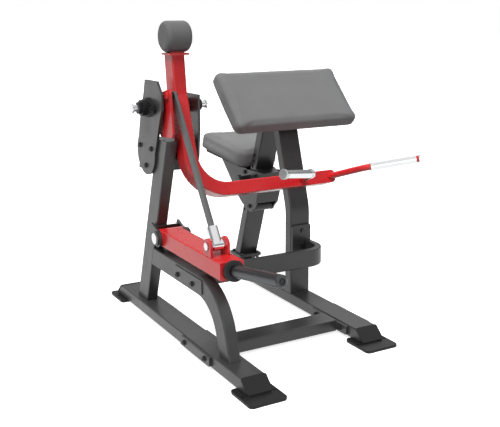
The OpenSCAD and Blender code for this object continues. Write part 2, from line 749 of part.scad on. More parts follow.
// Tube with a narrower neck under its collar and a thick, chamfered end that has a smaller bore
module weight_horn() at_base() color(grey) difference() {
    on_horn() {
        translate([0, 0, -10]) cylinder(r = neck_r, h = horn_start + 10 + eps);
        translate([0, 0, horn_start]) cylinder(r = horn_d / 2, h = horn_l);
        translate([0, 0, horn_start + horn_l])
            cylinder(r1 = horn_d / 2, r2 = horn_d / 2 - horn_chamfer, h = horn_chamfer);
    }
    on_horn() translate([0, 0, 10]) cylinder(r = horn_d / 2 - horn_wall, h = horn_end - horn_end_t - 10);
    on_horn() cylinder(r = horn_end_bore, h = horn_end + 10);
    translate([lower_mid - 60, lever_front, lower_z - 60]) cube([120, 60, 120]);
}
module horn_plug() at_base() color(black) on_horn() translate([0, 0, horn_end - horn_end_t]) {
    cylinder(r = horn_end_bore, h = horn_end_t - 4);
    cylinder(r = 6, h = horn_end_t - 1, $fn = 6);
}

eye_half = 20;
eye_r = 22;
barrel_r = 23;
barrel_l = 72;
rod_turn = atan2(crank_y - pin_y, crank_z - pin_z);
rod_l = norm([crank_y - pin_y, crank_z - pin_z]);

// Place children on the rod: the origin at its lower pin, z towards its upper end
module on_rod() translate([rod_x_mid, pin_y, pin_z]) rotate([-rod_turn, 0, 0]) children();

// Flat bar with a round upper end
module rod() at_base() color(steel) on_rod() side_shape(-rod_t / 2, rod_t / 2) difference() {
    union() {
        translate([-rod_w / 2, barrel_l]) square([rod_w, rod_l - barrel_l]);
        translate([0, rod_l]) circle(rod_w / 2);
    }
    translate([0, rod_l]) circle(pin_r);
}

module rod_lower_end() at_base() color(chrome) on_rod() difference() {
    union() {
        rod_x(eye_r, -eye_half, eye_half);
        cylinder(r = barrel_r, h = barrel_l);
    }
    rod_x(pin_r + run_gap, -eye_half - 5, eye_half + 5);
    for (side = [0, 1]) mirror([side, 0, 0]) translate([eye_half, -50, -30]) cube([20, 100, 56]);
    translate([-50, -50, -60]) cube([100, 100, 40]);
}

// Pin stub in the rod's upper end, with a washer on each side of the bar
washer_t = 3;
module rod_upper_pin() at_base() color(black) on_rod() {
    rod_x(pin_r, -18, rod_t / 2 + washer_t + 3, 0, rod_l);
    rod_x(pin_r + 5, -rod_t / 2 - washer_t, -rod_t / 2, 0, rod_l);
    rod_x(pin_r + 5, rod_t / 2, rod_t / 2 + washer_t, 0, rod_l);
}

// ---- Upright, rear leg and arm pad ----

pad_y = -462;
pad_z = 805.3;
stand_left = rail_x - stand_w / 2;
upright_bend_r = 225;
upright_straight = 359;
// Place children on the arm pad: y up its slope, z out of its top
module on_pad() translate([rail_x, pad_y, pad_z]) rotate([pad_slope, 0, 0]) children();
// Place children on the rear leg: z up the leg, y = 0 on its front face
module on_leg() translate([rail_x, -leg_y, leg_flange_z]) rotate([leg_lean, 0, 0]) children();
leg_flange_z = 120;
bracket_t = 8;

module above_bracket() on_pad() translate([-stand_w, -200, -bracket_t]) cube([2 * stand_w, 900, 400]);

// Place children where the upright's bend ends: z up its leaning part, y = 0 at its middle
module on_upright_top() translate([rail_x, -upright_y + stand_d / 2 + upright_bend_r, rail_top + upright_straight])
    rotate([-upright_lean, 0, 0]) translate([0, -upright_bend_r, 0]) children();

brace_bolts = [[rail_x + 6, 357], [rail_x + 6, 290]];
module brace_bolt_places() for (b = brace_bolts)
    translate([b[0], -upright_y - brace_flange_t, b[1]]) rotate([90, 0, 0]) children();
module upright() at_base() color(steel) difference() {
    union() {
        translate([rail_x, -upright_y + stand_d / 2, rail_top]) {
            tube(stand_w, stand_d, upright_straight);
            translate([0, 0, upright_straight]) bend_back(stand_w, stand_d, upright_bend_r, upright_lean);
        }
        on_upright_top() tube(stand_w, stand_d, 520);
    }
    above_bracket();
    brace_bolt_places() translate([0, 0, -60]) cylinder(r = hole_r, h = 61);
}

pin_place = [30, 440];
hole_pitch = 30;
module rear_leg() at_base() color(steel) difference() {
    on_leg() translate([0, stand_d / 2, -10]) tube(stand_w, stand_d, 1000);
    above_bracket();
    on_upright_top() translate([-stand_w, stand_d / 2 - 300, 0]) cube([2 * stand_w, 300, 600]);
    translate([stand_left - 20, -leg_y - 60, rail_top]) cube([stand_w + 40, 200, leg_flange_z + flange_t - rail_top]);
    // adjustment holes for the seat's pull pin
    for (i = [-6:4]) on_leg() translate([-stand_w / 2, pin_place[0], pin_place[1] + i * hole_pitch])
        rotate([0, 90, 0]) cylinder(r = 7, h = 30, center = true);
}

flange_t = 6;
flange_w = 124;
flange_l = 118;
flange_y = -leg_y + 26;
flange_bolts = [for (x = [-1, 1], y = [-1, 1]) [rail_x + x * 42, flange_y + y * 45]];
module flange_plate(z) difference() {
    translate([rail_x, flange_y, z]) linear_extrude(flange_t) round_rect(flange_w, flange_l, 10);
    for (b = flange_bolts) translate([b[0], b[1], z - 1]) cylinder(r = hole_r, h = flange_t + 2);
}
module leg_foot() at_base() color(steel) {
    flange_plate(leg_flange_z);
    flange_plate(leg_flange_z - flange_t - eps);
    difference() {
        on_leg() translate([0, stand_d / 2, -90]) tube(stand_w, stand_d, 110);
        translate([stand_left - 20, -leg_y - 100, leg_flange_z - flange_t]) cube([stand_w + 40, 260, 100]);
        translate([stand_left - 20, -leg_y - 100, rail_top - 100]) cube([stand_w + 40, 260, 100]);
    }
}

module pad_bracket() at_base() color(steel) on_pad() translate([-80, 60, -bracket_t]) cube([160, 180, bracket_t]);

// Board under the arm pad, set back from the cushion's edge
module pad_board() at_base() color(black) on_pad() translate([0, pad_l / 2, 0])
    linear_extrude(board_t) round_rect(pad_w - 50, pad_l - 40, 20);

module arm_pad() at_base() color(cushion) on_pad() translate([0, pad_l / 2, board_t])
    rounded_pad(pad_w, pad_l, pad_t, 24, 14);

// Cushion with rounded corners and a rounded upper edge
module rounded_pad(w, l, t, corner, edge) {
    linear_extrude(t - edge) round_rect(w, l, corner);
    translate([0, 0, t - edge - eps]) linear_extrude(edge / 2) round_rect(w - edge * 0.6, l - edge * 0.6, corner);
    translate([0, 0, t - edge / 2 - 2 * eps]) linear_extrude(edge / 2) round_rect(w - 2 * edge, l - 2 * edge, corner);
}

// Brace from the side tube to the upright, with one bend
brace_d = 30;
brace_h = 78;
brace_z = 271;
brace_bend_r = 75;
brace_leg_x = rail_x + 35;
brace_flange_t = 12;
side_flange_t = 8;
module cross_brace() at_base() color(steel) {
    x0 = right_post_x + splice_t + side_flange_t;
    x1 = brace_leg_x - brace_bend_r;
    translate([x0, brace_y, brace_z]) rotate([90, 0, 90]) linear_extrude(x1 - x0)
        tube_section(brace_d, brace_h);
    translate([x1, brace_y + brace_bend_r, brace_z]) rotate(-90)
        rotate_extrude(angle = 90, $fn = 96) translate([brace_bend_r, 0]) tube_section(brace_d, brace_h);
    translate([brace_leg_x, -upright_y - brace_flange_t, brace_z]) rotate([90, 0, 0])
        linear_extrude(-upright_y - brace_flange_t - brace_y - brace_bend_r) tube_section(brace_d, brace_h);
}

module brace_flanges() at_base() color(steel) {
    difference() {
        translate([rail_x, -upright_y, 320]) rotate([90, 0, 0])
            linear_extrude(brace_flange_t) round_rect(96, 128, 8);
        brace_bolt_places() translate([0, 0, -brace_flange_t - 1]) cylinder(r = hole_r, h = brace_flange_t + 2);
    }
    difference() {
        side_shape(right_post_x + splice_t, right_post_x + splice_t + side_flange_t)
            translate([brace_y, splice_z - 7]) round_rect(100, 96, 8);
        for (y = [brace_set_y, splice_y[1]]) rod_x(hole_r, right_post_x, right_post_x + post_w, y, splice_z);
    }
}

// Every bolt of the one size that holds the frame's pieces together
module frame_bolts() at_base() color(grey) {
    for (y = cross_bolt_y, side = [0, 1]) mirror([side, 0, 0])
        through_bolt(-inner_face - rail_w - plate_t, -inner_face + plate_t, y, rail_z + rail_h / 2);
    through_bolt(left_post_x - splice_t, right_post_x + splice_t, splice_y[0], splice_z);
    through_bolt(left_post_x - splice_t, right_post_x + splice_t + side_flange_t, splice_y[1], splice_z);
    for (b = bolt_places) through_bolt(head_left - plate_t, head_right + plate_t, b[0], b[1]);
    for (b = flange_bolts) translate([b[0], b[1], leg_flange_z + flange_t]) bolt(2 * flange_t + eps);
    brace_bolt_places() set_bolt(brace_flange_t + tube_wall);
    translate([right_post_x + splice_t + side_flange_t, brace_set_y, splice_z]) rotate([0, 90, 0])
        set_bolt(side_flange_t + splice_t + tube_wall);
}

// ---- Seat and its carriage ----

seat_front = [56, 472];
cheek_gap = 2;
cheek_t = 10;
cheek_in = stand_w / 2 + cheek_gap;
roller = [-26.6, 312];
function seat_line(y) = seat_front[1] - (y - seat_front[0]) * tan(leg_lean - seat_tilt);
// Place children on the seat: y along it to the rear, z = 0 on its board's underside
module on_seat() on_leg() translate([0, seat_front[0], seat_front[1]])
    rotate([seat_tilt - leg_lean, 0, 0]) children();

module cheek_outline() {
    translate(roller) circle(28);
    polygon([[-75, 523], [-75, 353], [roller.x - 28, roller.y], [roller.x, roller.y - 28], [43, 287.6],
        [114, 303.4], [182, 339], [361, seat_line(361) - 12], [361, seat_line(361)], [56, seat_line(56)]]);
}
module seat_carriage() at_base() color(steel) on_leg() difference() {
    union() {
        side_shape(-cheek_in - cheek_t, -cheek_in) cheek_outline();
        side_shape(cheek_in, cheek_in + cheek_t) cheek_outline();
        translate([-cheek_in - eps, -75, 356]) cube([2 * (cheek_in + eps), 6, 164]);
        translate([-cheek_in - eps, back_plate_y, 330]) cube([2 * (cheek_in + eps), 8, 136]);
    }
    for (b = carriage_bolt_places) rod_x(hole_r, -100, 100, b[0], b[1]);
    rod_x(pin_rod_r + 0.5, -cheek_in - cheek_t - 1, -cheek_in + 1, pin_place[0], pin_place[1]);
}

back_plate_y = 90;
carriage_bolt_places = [roller, [-28, 480], [72, 350], [72, 448]];
// Nylon blocks and a roller that bear on the leg
module guide_shoes() at_base() color(black) on_leg() {
    slack = 0.4;
    half = cheek_in - 1;
    difference() {
        union() {
            rod_x(-roller.x - slack, -half, half, roller.x, roller.y);
            translate([-half, -50, 450]) cube([2 * half, 50 - slack, 56]);
            translate([-half, stand_d + slack, 330]) cube([2 * half, back_plate_y - stand_d - slack, 44]);
            translate([-half, stand_d + slack, 426]) cube([2 * half, back_plate_y - stand_d - slack, 40]);
        }
        for (b = carriage_bolt_places) rod_x(hole_r, -100, 100, b[0], b[1]);
    }
}

module carriage_bolts() at_base() color(grey) on_leg() for (b = carriage_bolt_places)
    through_bolt(-cheek_in - cheek_t, cheek_in + cheek_t, b[0], b[1]);

// Seat outline: narrow at the front, wide at the rear, with rounded corners
module seat_outline(inset) {
    front = seat_front_w / 2 - inset;
    rear = seat_rear_w / 2 - inset;
    y0 = inset;
    y1 = seat_l - inset;
    front_r = 42;
    rear_r = 34;
    for (side = [-1, 1]) {
        translate([side * (front - front_r), y0 + front_r]) circle(front_r);
        translate([side * (rear - rear_r), y1 - rear_r]) circle(rear_r);
    }
    polygon([
        [-(front - front_r), y0], [front - front_r, y0], [front, y0 + front_r * 0.84],
        [rear, y1 - rear_r * 1.1], [rear, y1 - rear_r], [rear - rear_r, y1],
        [-(rear - rear_r), y1], [-rear, y1 - rear_r], [-rear, y1 - rear_r * 1.1],
        [-front, y0 + front_r * 0.84]]);
}
module seat_board() at_base() color(black) on_seat() linear_extrude(board_t) seat_outline(14);
module seat_pad() at_base() color(cushion) on_seat() translate([0, 0, board_t]) {
    linear_extrude(seat_t - 12) seat_outline(0);
    translate([0, 0, seat_t - 12 - eps]) linear_extrude(6) seat_outline(5);
    translate([0, 0, seat_t - 6 - 2 * eps]) linear_extrude(6) seat_outline(13);
}

// Spring pin: its tip stands just clear of the leg, its knob outside the housing
pin_rod_r = 6;
housing_l = 34;
module on_pin() on_leg() translate([-cheek_in - cheek_t, pin_place[0], pin_place[1]]) rotate([0, -90, 0]) children();
module pin_housing() at_base() color(black) on_pin() difference() {
    union() {
        cylinder(r = 15, h = 8, $fn = 6);
        cylinder(r = 12, h = housing_l);
    }
    translate([0, 0, -1]) cylinder(r = pin_rod_r + fit_gap, h = housing_l + 2);
}
module pull_pin() at_base() color(black) on_pin() {
    translate([0, 0, -cheek_t - 1]) cylinder(r = pin_rod_r, h = housing_l + cheek_t + 6);
    translate([0, 0, housing_l + 1]) {
        cylinder(r = 11, h = 10);
        translate([0, 0, 10 - eps]) cylinder(r = 19, h = 16);
    }
}

left_rail();
right_rail();
rail_end_plates();
foot_plates();
foot_rubbers();
cross_tube();
rail_backing_plates();
load_post();
side_tube();
front_arch();
splice_blocks();
lower_bracket();
lower_shaft();
left_head_plate();
right_head_plate();
head_box();
arm_stop();
bearing_housings();
pivot_shaft();
shaft_collars();
upright();
rear_leg();
leg_foot();
pad_bracket();
pad_board();
arm_pad();
cross_brace();
brace_flanges();
frame_bolts();
arm_top_tube();
arm_tube();
arm_hub();
crank_plate();
crank_pin_head();
balance_plate();
balance_weight();
handle_socket();
handle_tube();
left_grip();
right_grip();
grip_caps();
lever_tube();
lever_bush();
rod_clevis();
clevis_pin();
horn_collar();
weight_horn();
horn_plug();
rod();
rod_lower_end();
rod_upper_pin();
seat_carriage();
guide_shoes();
seat_board();
seat_pad();
carriage_bolts();
pin_housing();
pull_pin();
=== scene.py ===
import bpy
import bmesh
import json
import math
from mathutils import Matrix, Vector


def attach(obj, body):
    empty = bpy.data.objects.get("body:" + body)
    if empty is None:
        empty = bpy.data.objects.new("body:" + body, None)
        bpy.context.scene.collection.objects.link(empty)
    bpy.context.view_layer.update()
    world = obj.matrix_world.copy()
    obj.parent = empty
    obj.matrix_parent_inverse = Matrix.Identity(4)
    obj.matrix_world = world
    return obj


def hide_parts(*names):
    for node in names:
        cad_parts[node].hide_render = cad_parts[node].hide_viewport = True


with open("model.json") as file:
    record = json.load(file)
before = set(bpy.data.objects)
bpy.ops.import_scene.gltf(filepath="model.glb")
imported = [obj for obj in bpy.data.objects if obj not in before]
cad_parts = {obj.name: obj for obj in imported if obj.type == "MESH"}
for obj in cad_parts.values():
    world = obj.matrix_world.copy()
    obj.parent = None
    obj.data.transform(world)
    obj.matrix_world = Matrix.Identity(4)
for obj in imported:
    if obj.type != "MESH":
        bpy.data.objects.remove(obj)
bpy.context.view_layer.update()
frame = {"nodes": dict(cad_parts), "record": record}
nodes = frame["nodes"]
print("stage: frame loaded,", len(nodes), "CAD nodes")


def clearSelection():
    if bpy.context.object and bpy.context.object.mode != "OBJECT":
        bpy.ops.object.mode_set(mode="OBJECT")
    bpy.ops.object.select_all(action="DESELECT")


def focus(piece):
    clearSelection()
    piece.select_set(True)
    bpy.context.view_layer.objects.active = piece


def placePiece(piece, matrix=None):
    if matrix is not None:
        piece.matrix_world = matrix @ piece.matrix_world
    focus(piece)
    bpy.ops.object.transform_apply(location=True, rotation=True, scale=True)  # place goes into the mesh


def applyModifiers(piece):
    focus(piece)
    for modifier in list(piece.modifiers):
        bpy.ops.object.modifier_apply(modifier=modifier.name)


def smoothPiece(piece, angle=35):
    focus(piece)
    bpy.ops.object.shade_smooth_by_angle(angle=math.radians(angle))


def outwardNormals(piece):
    focus(piece)
    bpy.ops.object.mode_set(mode="EDIT")
    bpy.ops.mesh.select_all(action="SELECT")
    bpy.ops.mesh.remove_doubles(threshold=0.00005)
    bpy.ops.mesh.normals_make_consistent(inside=False)
    bpy.ops.object.mode_set(mode="OBJECT")


def setMaterial(piece, material):
    piece.data.materials.clear()
    piece.data.materials.append(material)


def ridePiece(piece, body, material):
    setMaterial(piece, material)
    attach(piece, body)


def startMaterial(name):
    material = bpy.data.materials.new(name)
    material.use_nodes = True
    tree = material.node_tree
    shader = tree.nodes["Principled BSDF"]
    coords = tree.nodes.new("ShaderNodeTexCoord")
    return material, tree, shader, coords


def addNoise(tree, coords, scale, detail=3.0, roughness=0.5, stretch=None):
    noise = tree.nodes.new("ShaderNodeTexNoise")
    noise.inputs["Scale"].default_value = scale
    noise.inputs["Detail"].default_value = detail
    noise.inputs["Roughness"].default_value = roughness
    if stretch:
        mapping = tree.nodes.new("ShaderNodeMapping")
        mapping.inputs["Scale"].default_value = stretch
        tree.links.new(coords.outputs["Object"], mapping.inputs["Vector"])
        tree.links.new(mapping.outputs["Vector"], noise.inputs["Vector"])
    else:
        tree.links.new(coords.outputs["Object"], noise.inputs["Vector"])
    return noise


def addRamp(tree, source, stops):
    ramp = tree.nodes.new("ShaderNodeValToRGB")
    while len(ramp.color_ramp.elements) < len(stops):
        ramp.color_ramp.elements.new(0.5)
    for element, (position, colour) in zip(ramp.color_ramp.elements, stops):
        element.position = position
        element.color = (*colour, 1.0) if len(colour) == 3 else colour
    tree.links.new(source, ramp.inputs["Fac"])
    return ramp


def addRange(tree, source, low, high, fromLow=0.3, fromHigh=0.7):
    node = tree.nodes.new("ShaderNodeMapRange")
    node.inputs["From Min"].default_value = fromLow
    node.inputs["From Max"].default_value = fromHigh
    node.inputs["To Min"].default_value = low
    node.inputs["To Max"].default_value = high
    tree.links.new(source, node.inputs["Value"])
    return node


def addBump(tree, shader, height, strength, distance, under=None):
    bump = tree.nodes.new("ShaderNodeBump")
    bump.inputs["Strength"].default_value = strength
    bump.inputs["Distance"].default_value = distance
    tree.links.new(height, bump.inputs["Height"])
    if under:
        tree.links.new(under.outputs["Normal"], bump.inputs["Normal"])
    tree.links.new(bump.outputs["Normal"], shader.inputs["Normal"])
    return bump


def addBevelNormal(tree, shader, bump, radius):
    edge = tree.nodes.new("ShaderNodeBevel")  # softens the CAD edges so they catch light
    edge.samples = 4
    edge.inputs["Radius"].default_value = radius
    if bump:
        tree.links.new(edge.outputs["Normal"], bump.inputs["Normal"])
    else:
        tree.links.new(edge.outputs["Normal"], shader.inputs["Normal"])


def greyTone(value):
    return (value, value * 1.005, value * 1.02)


def powderCoat(name, light, dark, roughLow, roughHigh, grain, coat=0.0, shine=0.5):
    material, tree, shader, coords = startMaterial(name)
    cloud = addNoise(tree, coords, 3.5, 4.0, 0.6)
    tone = addRamp(tree, cloud.outputs["Fac"], [(0.3, dark), (0.7, light)])
    speck = addNoise(tree, coords, 900.0, 1.0)
    speckTone = addRamp(tree, speck.outputs["Fac"], [(0.35, (0.86, 0.86, 0.86)), (0.65, (1.0, 1.0, 1.0))])
    mix = tree.nodes.new("ShaderNodeMix")
    mix.data_type = "RGBA"
    mix.blend_type = "MULTIPLY"
    mix.inputs["Factor"].default_value = 0.6
    tree.links.new(tone.outputs["Color"], mix.inputs[6])
    tree.links.new(speckTone.outputs["Color"], mix.inputs[7])
    tree.links.new(mix.outputs[2], shader.inputs["Base Color"])
    smear = addNoise(tree, coords, 14.0, 5.0, 0.65)
    rough = addRange(tree, smear.outputs["Fac"], roughLow, roughHigh)
    tree.links.new(rough.outputs["Result"], shader.inputs["Roughness"])
    peel = addNoise(tree, coords, 420.0, 2.0)
    bump = addBump(tree, shader, peel.outputs["Fac"], grain, 0.0004)
    addBevelNormal(tree, shader, bump, 0.0025)
    shader.inputs["Coat Weight"].default_value = coat
    shader.inputs["Coat Roughness"].default_value = 0.12
    shader.inputs["Specular IOR Level"].default_value = shine
    return material


def chromePlate(name, tone, roughLow, roughHigh):
    material, tree, shader, coords = startMaterial(name)
    cloud = addNoise(tree, coords, 30.0, 4.0, 0.6)
    colour = addRamp(tree, cloud.outputs["Fac"], [(0.3, tuple(v * 0.93 for v in tone)), (0.7, tone)])
    tree.links.new(colour.outputs["Color"], shader.inputs["Base Color"])
    shader.inputs["Metallic"].default_value = 1.0
    rough = addRange(tree, cloud.outputs["Fac"], roughLow, roughHigh)
    tree.links.new(rough.outputs["Result"], shader.inputs["Roughness"])
    fine = addNoise(tree, coords, 700.0, 2.0)
    bump = addBump(tree, shader, fine.outputs["Fac"], 0.04, 0.0002)
    addBevelNormal(tree, shader, bump, 0.0008)
    return material


def vinylCover(name, light, dark):
    material, tree, shader, coords = startMaterial(name)
    cloud = addNoise(tree, coords, 5.0, 4.0, 0.6)
    tone = addRamp(tree, cloud.outputs["Fac"], [(0.25, dark), (0.75, light)])
    cells = tree.nodes.new("ShaderNodeTexVoronoi")
    cells.feature = "DISTANCE_TO_EDGE"
    cells.inputs["Scale"].default_value = 620.0
    tree.links.new(coords.outputs["Object"], cells.inputs["Vector"])
    # painted shade: the colour is darkened to 0.72 in the grooves between the grain cells, where shade falls;
    # the same grooves also drive the bump
    creaseAndPaintedShade = addRamp(tree, cells.outputs["Distance"], [(0.0, (0.72, 0.72, 0.72)), (0.16, (1.0, 1.0, 1.0))])
    mix = tree.nodes.new("ShaderNodeMix")
    mix.data_type = "RGBA"
    mix.blend_type = "MULTIPLY"
    mix.inputs["Factor"].default_value = 0.7
    tree.links.new(tone.outputs["Color"], mix.inputs[6])
    tree.links.new(creaseAndPaintedShade.outputs["Color"], mix.inputs[7])
    tree.links.new(mix.outputs[2], shader.inputs["Base Color"])
    wear = addNoise(tree, coords, 9.0, 5.0, 0.7)
    rough = addRange(tree, wear.outputs["Fac"], 0.5, 0.68)
    tree.links.new(rough.outputs["Result"], shader.inputs["Roughness"])
    fold = addNoise(tree, coords, 38.0, 3.0, 0.55)
    foldBump = addBump(tree, shader, fold.outputs["Fac"], 0.12, 0.002)
    addBump(tree, shader, creaseAndPaintedShade.outputs["Color"], 0.32, 0.0006, under=foldBump)
    shader.inputs["Sheen Weight"].default_value = 0.03
    shader.inputs["Specular IOR Level"].default_value = 0.3
    shader.inputs["Sheen Roughness"].default_value = 0.5
    return material


def rubberSkin(name, tone):
    material, tree, shader, coords = startMaterial(name)
    cloud = addNoise(tree, coords, 24.0, 5.0, 0.6)
    colour = addRamp(tree, cloud.outputs["Fac"], [(0.3, tuple(v * 0.75 for v in tone)), (0.7, tone)])
    tree.links.new(colour.outputs["Color"], shader.inputs["Base Color"])
    rough = addRange(tree, cloud.outputs["Fac"], 0.62, 0.82)
    tree.links.new(rough.outputs["Result"], shader.inputs["Roughness"])
    fine = addNoise(tree, coords, 1100.0, 2.0)
    bump = addBump(tree, shader, fine.outputs["Fac"], 0.2, 0.0003)
    addBevelNormal(tree, shader, bump, 0.001)
    return material


def mouldedPlastic(name, tone):
    material, tree, shader, coords = startMaterial(name)
    cloud = addNoise(tree, coords, 60.0, 3.0)
    colour = addRamp(tree, cloud.outputs["Fac"], [(0.3, tuple(v * 0.85 for v in tone)), (0.7, tone)])
    tree.links.new(colour.outputs["Color"], shader.inputs["Base Color"])
    rough = addRange(tree, cloud.outputs["Fac"], 0.34, 0.46)
    tree.links.new(rough.outputs["Result"], shader.inputs["Roughness"])
    fine = addNoise(tree, coords, 1500.0, 1.0)
    bump = addBump(tree, shader, fine.outputs["Fac"], 0.1, 0.0002)
    addBevelNormal(tree, shader, bump, 0.001)
    return material


def brushedSteel(name, tone, stretch, roughLow=0.26, roughHigh=0.4):
    material, tree, shader, coords = startMaterial(name)
    lines = addNoise(tree, coords, 300.0, 3.0, 0.6, stretch)
    colour = addRamp(tree, lines.outputs["Fac"], [(0.3, tuple(v * 0.82 for v in tone)), (0.7, tone)])
    tree.links.new(colour.outputs["Color"], shader.inputs["Base Color"])
    shader.inputs["Metallic"].default_value = 1.0
    rough = addRange(tree, lines.outputs["Fac"], roughLow, roughHigh)
    tree.links.new(rough.outputs["Result"], shader.inputs["Roughness"])
    bump = addBump(tree, shader, lines.outputs["Fac"], 0.08, 0.0002)
    addBevelNormal(tree, shader, bump, 0.0008)
    return material


def paintedBoard(name, tone):
    material, tree, shader, coords = startMaterial(name)
    plies = tree.nodes.new("ShaderNodeTexWave")
    plies.inputs["Scale"].default_value = 90.0
    plies.inputs["Distortion"].default_value = 1.5
    tree.links.new(coords.outputs["Object"], plies.inputs["Vector"])
    colour = addRamp(tree, plies.outputs["Fac"], [(0.2, tuple(v * 0.8 for v in tone)), (0.8, tone)])
    tree.links.new(colour.outputs["Color"], shader.inputs["Base Color"])
    grain = addNoise(tree, coords, 160.0, 4.0, 0.6, (1.0, 0.2, 0.2))
    rough = addRange(tree, grain.outputs["Fac"], 0.5, 0.7)
    tree.links.new(rough.outputs["Result"], shader.inputs["Roughness"])
    addBump(tree, shader, grain.outputs["Fac"], 0.2, 0.0005)
    return material


charcoalPaint = powderCoat("charcoalPaint", greyTone(0.044), greyTone(0.035), 0.28, 0.4, 0.16, 0.1)
rodPaint = powderCoat("rodPaint", greyTone(0.11), greyTone(0.09), 0.36, 0.48, 0.16, 0.1)
blackPaint = powderCoat("blackPaint", greyTone(0.018), greyTone(0.013), 0.34, 0.46, 0.16, 0.0, 0.25)
weightPaint = powderCoat("weightPaint", greyTone(0.16), greyTone(0.14), 0.5, 0.6, 0.3, 0.0, 0.3)
redPaint = powderCoat("redPaint", (0.7, 0.02, 0.024), (0.64, 0.018, 0.022), 0.22, 0.32, 0.08, 0.15)
chrome = chromePlate("chrome", (0.78, 0.79, 0.8), 0.08, 0.18)
vinyl = vinylCover("vinyl", greyTone(0.225), greyTone(0.2))
rubber = rubberSkin("rubber", greyTone(0.022))
blackPlastic = mouldedPlastic("blackPlastic", greyTone(0.02))
blackBolt = brushedSteel("blackBolt", (0.09, 0.09, 0.095), (1.0, 1.0, 1.0), 0.35, 0.5)
hornSteel = brushedSteel("hornSteel", (0.1, 0.103, 0.108), (1.0, 0.06, 1.0), 0.3, 0.42)
board = paintedBoard("board", greyTone(0.02))
finishes = {
    "charcoal_paint": charcoalPaint, "black_paint": blackPaint, "red_paint": redPaint,
    "weight_paint": weightPaint, "rubber": rubber, "black_plastic": blackPlastic, "board": board,
    "pad_cover": vinyl, "chrome": chrome, "black_bolt": blackBolt, "horn_steel": hornSteel,
    "rod_paint": rodPaint}
for part in frame["record"]["subparts"]:
    setMaterial(nodes[part["node"]], finishes[part["material_slot"]])
print("stage: materials made")


def selectEdges(piece, test):
    focus(piece)
    bpy.ops.object.mode_set(mode="EDIT")
    bpy.ops.mesh.select_mode(type="EDGE")
    bpy.ops.mesh.select_all(action="DESELECT")
    shape = bmesh.from_edit_mesh(piece.data)
    for edge in shape.edges:
        if test(edge.verts[0].co, edge.verts[1].co):
            edge.select_set(True)
    bmesh.update_edit_mesh(piece.data)


def bevelSelected(width, segments):
    bpy.ops.mesh.bevel(offset=width, segments=segments, affect="EDGES")
    bpy.ops.object.mode_set(mode="OBJECT")


clothPlan = {
    "quality": 4, "mass": 0.3, "bending": 2.0, "lastFrame": 20, "heldDepth": 0.002,
    "relaxSteps": 3, "evenSteps": 10}


def swellCushion(piece, cushion):
    focus(piece)
    remesh = piece.modifiers.new("skin", "REMESH")
    remesh.mode = "VOXEL"
    remesh.voxel_size = cushion["voxel"]
    relax = piece.modifiers.new("relax", "SMOOTH")
    relax.factor = 0.5
    relax.iterations = clothPlan["relaxSteps"]
    applyModifiers(piece)
    held = piece.vertex_groups.new(name="held")  # the underside stays flat on its board
    heldTop = cushion["floor"] + clothPlan["heldDepth"]
    held.add([v.index for v in piece.data.vertices if v.co.z < heldTop], 1.0, "REPLACE")
    before = [v.co.copy() for v in piece.data.vertices]
    cloth = piece.modifiers.new("swell", "CLOTH")
    cloth.settings.quality = clothPlan["quality"]
    cloth.settings.mass = clothPlan["mass"]
    cloth.settings.tension_stiffness = cloth.settings.compression_stiffness = cushion["stiffness"]
    cloth.settings.bending_stiffness = clothPlan["bending"]
    cloth.settings.use_pressure = True
    cloth.settings.uniform_pressure_force = cushion["pressure"]
    cloth.settings.vertex_group_mass = "held"
    cloth.settings.effector_weights.gravity = 0
    cloth.point_cache.frame_start, cloth.point_cache.frame_end = 1, clothPlan["lastFrame"]
    for frameNumber in range(1, clothPlan["lastFrame"] + 1):
        bpy.context.scene.frame_set(frameNumber)
    swollen = piece.evaluated_get(bpy.context.evaluated_depsgraph_get()).to_mesh()
    after = [v.co.copy() for v in swollen.vertices]
    piece.evaluated_get(bpy.context.evaluated_depsgraph_get()).to_mesh_clear()
    bpy.context.scene.frame_set(1)
    for vertex, old, new in zip(piece.data.vertices, before, after):
        move = new - old
        vertex.co = old + (move if move.length < cushion["cap"] else move.normalized() * cushion["cap"])
    swell = max((new - old).length for old, new in zip(before, after))
    print("stage:", piece.name, "swelled by", round(1000 * swell, 1), "mm")
    piece.modifiers.remove(cloth)
    piece.vertex_groups.clear()
    even = piece.modifiers.new("even", "SMOOTH")
    even.factor = 0.5
    even.iterations = clothPlan["evenSteps"]
    fine = piece.modifiers.new("fine", "SUBSURF")
    fine.levels = fine.render_levels = 1
    applyModifiers(piece)
    focus(piece)
    bpy.ops.object.shade_smooth()


armPadPlan = {
    "foot": (0.197, 0.088, 0.8053), "slope": 45.0, "width": 0.627, "length": 0.317, "floor": 0.0132,
    "thickness": 0.055, "corner": 0.028, "edge": 0.016, "underEdge": 0.006, "voxel": 0.005, "pressure": 3.0,
    "stiffness": 24.0, "cap": 0.006}


def makeArmPad(plan):
    clearSelection()
    middle = plan["floor"] + plan["thickness"] / 2
    bpy.ops.mesh.primitive_cube_add(size=1, location=(0, 0.15, middle))
    pad = bpy.context.object
    pad.name = "armPad"
    pad.scale = (plan["width"], plan["length"], plan["thickness"])
    placePiece(pad)
    selectEdges(pad, lambda a, b: abs(a.x - b.x) < 0.001 and abs(a.y - b.y) < 0.001)
    bevelSelected(plan["corner"], 6)
    selectEdges(pad, lambda a, b: min(a.z, b.z) > middle)
    bevelSelected(plan["edge"], 6)
    selectEdges(pad, lambda a, b: max(a.z, b.z) < plan["floor"] + 0.001)
    bevelSelected(plan["underEdge"], 3)
    swellCushion(pad, plan)
    placePiece(pad, Matrix.Translation(plan["foot"]) @ Matrix.Rotation(math.radians(plan["slope"]), 4, "X"))
    ridePiece(pad, "frame", vinyl)
    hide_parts("arm_pad")


